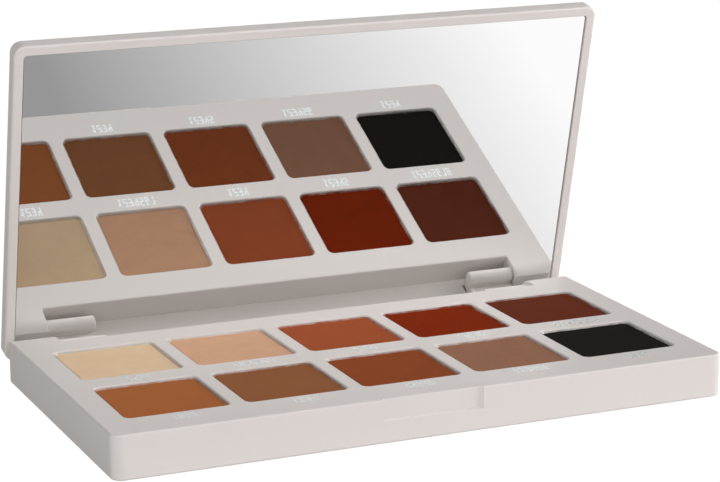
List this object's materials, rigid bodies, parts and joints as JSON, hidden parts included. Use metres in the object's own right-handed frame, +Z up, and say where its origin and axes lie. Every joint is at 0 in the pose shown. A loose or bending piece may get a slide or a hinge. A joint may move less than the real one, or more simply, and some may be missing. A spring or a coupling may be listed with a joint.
{
  "type": "eyeshadow palette",
  "caption": "Slim rectangular makeup palette with square powder pans in two rows and a mirrored lid on rear hinge knuckles.",
  "frame": {"origin": "centre of the case's underside", "axes": "+Z up, -Y is the front edge with the thumb recess, +X to the right along the hinge"},
  "size_m": [0.151, 0.0887, 0.085],
  "materials": {
    "case_plastic": "very pale warm grey, fine satin texture",
    "pan_metal": "thin pressed metal",
    "mirror": "silvered glass",
    "tape": "double-sided foam tape",
    "glue": "dried glue",
    "pin_steel": "ground",
    "magnet_nickel": "nickel plated",
    "powder_caramel": "pressed powder",
    "powder_mid_brown": "pressed powder",
    "powder_cedar": "pressed powder",
    "powder_taupe": "pressed powder",
    "powder_black": "pressed powder",
    "powder_cream": "pressed powder",
    "powder_peach": "pressed powder",
    "powder_terracotta": "pressed powder",
    "powder_burnt_orange": "pressed powder",
    "powder_burgundy": "pressed powder"
  },
  "bodies": {
    "base": {"base_case": "case_plastic", "bottom_cover": "case_plastic", "pan_glue_pads": "glue", "pan_front_1": "pan_metal", "pan_front_2": "pan_metal", "pan_front_3": "pan_metal", "pan_front_4": "pan_metal", "pan_front_5": "pan_metal", "pan_rear_1": "pan_metal", "pan_rear_2": "pan_metal", "pan_rear_3": "pan_metal", "pan_rear_4": "pan_metal", "pan_rear_5": "pan_metal", "powder_caramel": "powder_caramel", "powder_mid_brown": "powder_mid_brown", "powder_cedar": "powder_cedar", "powder_taupe": "powder_taupe", "powder_black": "powder_black", "powder_cream": "powder_cream", "powder_peach": "powder_peach", "powder_terracotta": "powder_terracotta", "powder_burnt_orange": "powder_burnt_orange", "powder_burgundy": "powder_burgundy", "hinge_pin_left": "pin_steel", "hinge_pin_right": "pin_steel", "case_magnet_left": "magnet_nickel", "case_magnet_right": "magnet_nickel"},
    "lid": {"lid_shell": "case_plastic", "mirror": "mirror", "mirror_tape": "tape", "lid_magnet_left": "magnet_nickel", "lid_magnet_right": "magnet_nickel"}
  },
  "joints": [
    {"name": "lid_hinge", "type": "hinge", "parent": "base", "child": "lid", "pos_m": [0, 0.0384, 0.00565], "axis": [-1, 0, 0], "range_deg": [-76.3, 29]}
  ]
}
